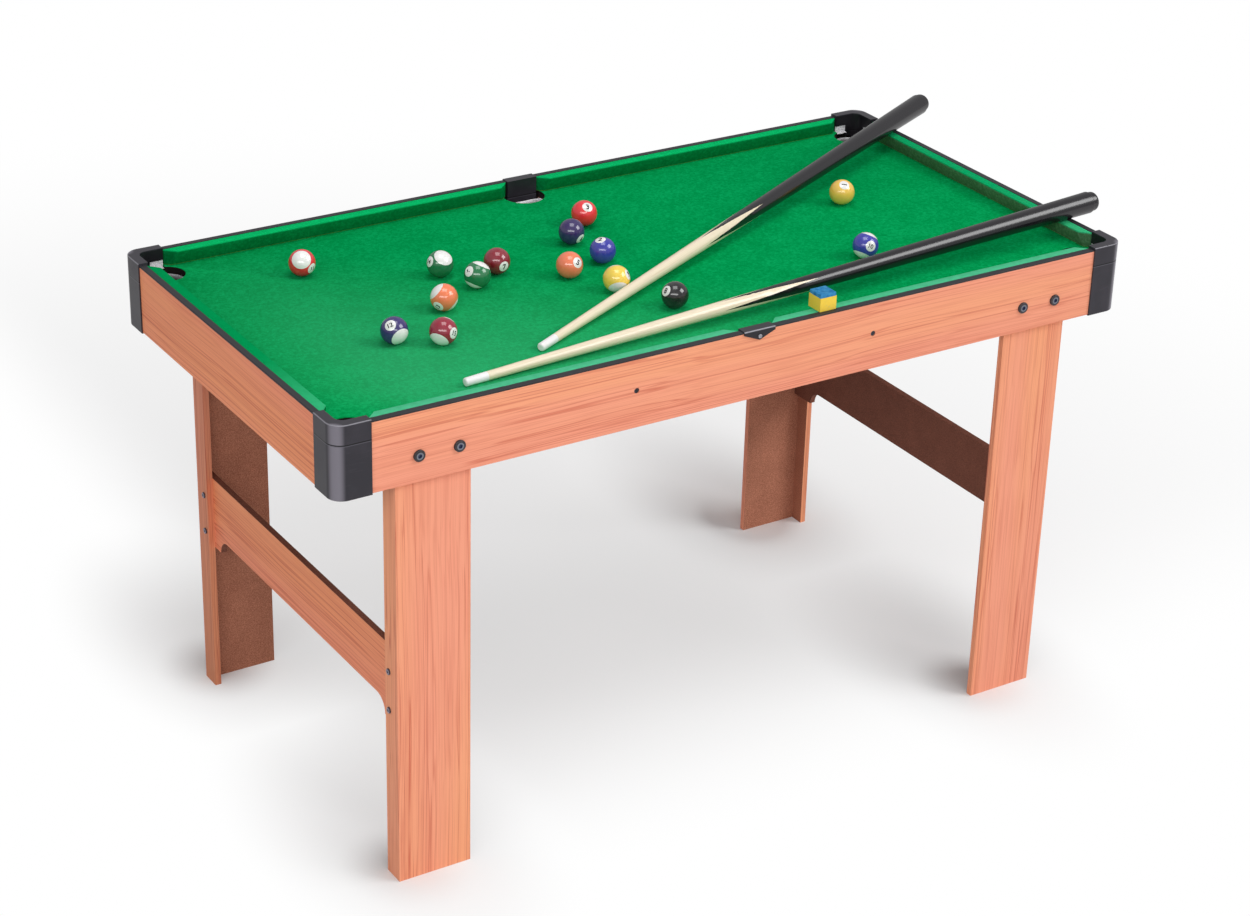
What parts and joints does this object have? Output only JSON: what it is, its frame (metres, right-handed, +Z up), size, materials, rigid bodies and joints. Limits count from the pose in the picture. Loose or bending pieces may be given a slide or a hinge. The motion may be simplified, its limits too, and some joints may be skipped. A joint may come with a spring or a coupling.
{
  "type": "billiard table",
  "caption": "Small six-pocket billiard table with a wooden apron and folded board legs, dark corner castings, green cloth, and its balls, cues and chalk laid out on it.",
  "frame": {"origin": "floor point under the middle of the table, level with the bottom of the four legs", "axes": "+X along the table's length, +Y from the front side to the back side across its width, +Z up; metres"},
  "size_m": [1.2849, 0.6168, 0.7011],
  "materials": {
    "apron_wood": "satin maple-orange grain",
    "leg_wood": "satin grain running down the leg",
    "inner_board": "raw board, dark",
    "cloth_green": "short-nap cloth",
    "cushion_green": "cloth over a firm profile",
    "trim_dark": "satin edge strip",
    "corner_plastic": "moulded, semi-gloss",
    "net_white": "white pocket lining",
    "bolt_black": "black coated steel",
    "screw_steel": "bright plated",
    "nut_steel": "zinc plated",
    "cue_maple": "lacquered pale maple",
    "cue_butt_black": "black lacquer",
    "cue_ferrule": "white ferrule and tip",
    "chalk_blue": "powdery pressed chalk",
    "chalk_paper": "printed paper wrap, plain",
    "ball_01_glaze": "polished resin",
    "ball_02_glaze": "polished resin",
    "ball_03_glaze": "polished resin",
    "ball_04_glaze": "polished resin",
    "ball_05_glaze": "polished resin",
    "ball_06_glaze": "polished resin",
    "ball_07_glaze": "polished resin",
    "ball_08_glaze": "polished resin",
    "ball_09_glaze": "polished resin",
    "ball_10_glaze": "polished resin",
    "ball_11_glaze": "polished resin",
    "ball_12_glaze": "polished resin",
    "ball_13_glaze": "polished resin",
    "ball_14_glaze": "polished resin",
    "ball_15_glaze": "polished resin"
  },
  "bodies": {
    "table": {"panel_front": "apron_wood", "panel_back": "apron_wood", "panel_left": "apron_wood", "panel_right": "apron_wood", "bed_board": "inner_board", "bed_cloth": "cloth_green", "bed_crossbar_left": "inner_board", "bed_crossbar_right": "inner_board", "cushion_front_left": "cushion_green", "cushion_front_right": "cushion_green", "cushion_back_left": "cushion_green", "cushion_back_right": "cushion_green", "cushion_left": "cushion_green", "cushion_right": "cushion_green", "rail_trims": "trim_dark", "corner_casting_front_left": "corner_plastic", "corner_guard_front_left": "corner_plastic", "leg_front_left": "leg_wood", "corner_casting_front_right": "corner_plastic", "corner_guard_front_right": "corner_plastic", "leg_front_right": "leg_wood", "corner_casting_back_left": "corner_plastic", "corner_guard_back_left": "corner_plastic", "leg_back_left": "leg_wood", "corner_casting_back_right": "corner_plastic", "corner_guard_back_right": "corner_plastic", "leg_back_right": "leg_wood", "side_pocket_front": "corner_plastic", "side_pocket_back": "corner_plastic", "pocket_nets": "net_white", "stretcher_left": "leg_wood", "stretcher_right": "leg_wood", "leg_bolts": "bolt_black", "leg_nuts": "nut_steel", "stretcher_screws": "screw_steel", "crossbar_screws": "bolt_black", "side_pocket_screws": "screw_steel"},
    "ball_01": {"ball_01": "ball_01_glaze"},
    "ball_02": {"ball_02": "ball_02_glaze"},
    "ball_03": {"ball_03": "ball_03_glaze"},
    "ball_04": {"ball_04": "ball_04_glaze"},
    "ball_05": {"ball_05": "ball_05_glaze"},
    "ball_06": {"ball_06": "ball_06_glaze"},
    "ball_07": {"ball_07": "ball_07_glaze"},
    "ball_08": {"ball_08": "ball_08_glaze"},
    "ball_09": {"ball_09": "ball_09_glaze"},
    "ball_10": {"ball_10": "ball_10_glaze"},
    "ball_11": {"ball_11": "ball_11_glaze"},
    "ball_12": {"ball_12": "ball_12_glaze"},
    "ball_13": {"ball_13": "ball_13_glaze"},
    "ball_14": {"ball_14": "ball_14_glaze"},
    "ball_15": {"ball_15": "ball_15_glaze"},
    "cue_1": {"cue_1_tip": "cue_ferrule", "cue_1_shaft": "cue_maple", "cue_1_butt": "cue_butt_black"},
    "cue_2": {"cue_2_tip": "cue_ferrule", "cue_2_shaft": "cue_maple", "cue_2_butt": "cue_butt_black"},
    "chalk": {"chalk_block": "chalk_blue", "chalk_label": "chalk_paper"}
  },
  "joints": [
    {"name": "ball_01_lift", "type": "slide", "parent": "table", "child": "ball_01", "axis": [0, 0, 1], "range_m": [0, 0.1]},
    {"name": "ball_02_lift", "type": "slide", "parent": "table", "child": "ball_02", "axis": [0, 0, 1], "range_m": [0, 0.1]},
    {"name": "ball_03_lift", "type": "slide", "parent": "table", "child": "ball_03", "axis": [0, 0, 1], "range_m": [0, 0.1]},
    {"name": "ball_04_lift", "type": "slide", "parent": "table", "child": "ball_04", "axis": [0, 0, 1], "range_m": [0, 0.1]},
    {"name": "ball_05_lift", "type": "slide", "parent": "table", "child": "ball_05", "axis": [0, 0, 1], "range_m": [0, 0.1]},
    {"name": "ball_06_lift", "type": "slide", "parent": "table", "child": "ball_06", "axis": [0, 0, 1], "range_m": [0, 0.1]},
    {"name": "ball_07_lift", "type": "slide", "parent": "table", "child": "ball_07", "axis": [0, 0, 1], "range_m": [0, 0.1]},
    {"name": "ball_08_lift", "type": "slide", "parent": "table", "child": "ball_08", "axis": [0, 0, 1], "range_m": [0, 0.1]},
    {"name": "ball_09_lift", "type": "slide", "parent": "table", "child": "ball_09", "axis": [0, 0, 1], "range_m": [0, 0.1]},
    {"name": "ball_10_lift", "type": "slide", "parent": "table", "child": "ball_10", "axis": [0, 0, 1], "range_m": [0, 0.1]},
    {"name": "ball_11_lift", "type": "slide", "parent": "table", "child": "ball_11", "axis": [0, 0, 1], "range_m": [0, 0.1]},
    {"name": "ball_12_lift", "type": "slide", "parent": "table", "child": "ball_12", "axis": [0, 0, 1], "range_m": [0, 0.1]},
    {"name": "ball_13_lift", "type": "slide", "parent": "table", "child": "ball_13", "axis": [0, 0, 1], "range_m": [0, 0.1]},
    {"name": "ball_14_lift", "type": "slide", "parent": "table", "child": "ball_14", "axis": [0, 0, 1], "range_m": [0, 0.1]},
    {"name": "ball_15_lift", "type": "slide", "parent": "table", "child": "ball_15", "axis": [0, 0, 1], "range_m": [0, 0.1]},
    {"name": "cue_1_lift", "type": "slide", "parent": "table", "child": "cue_1", "axis": [0, 0, 1], "range_m": [0, 0.1]},
    {"name": "cue_2_lift", "type": "slide", "parent": "table", "child": "cue_2", "axis": [0, 0, 1], "range_m": [0, 0.1]},
    {"name": "chalk_lift", "type": "slide", "parent": "table", "child": "chalk", "axis": [0, 0, 1], "range_m": [0, 0.1]}
  ]
}
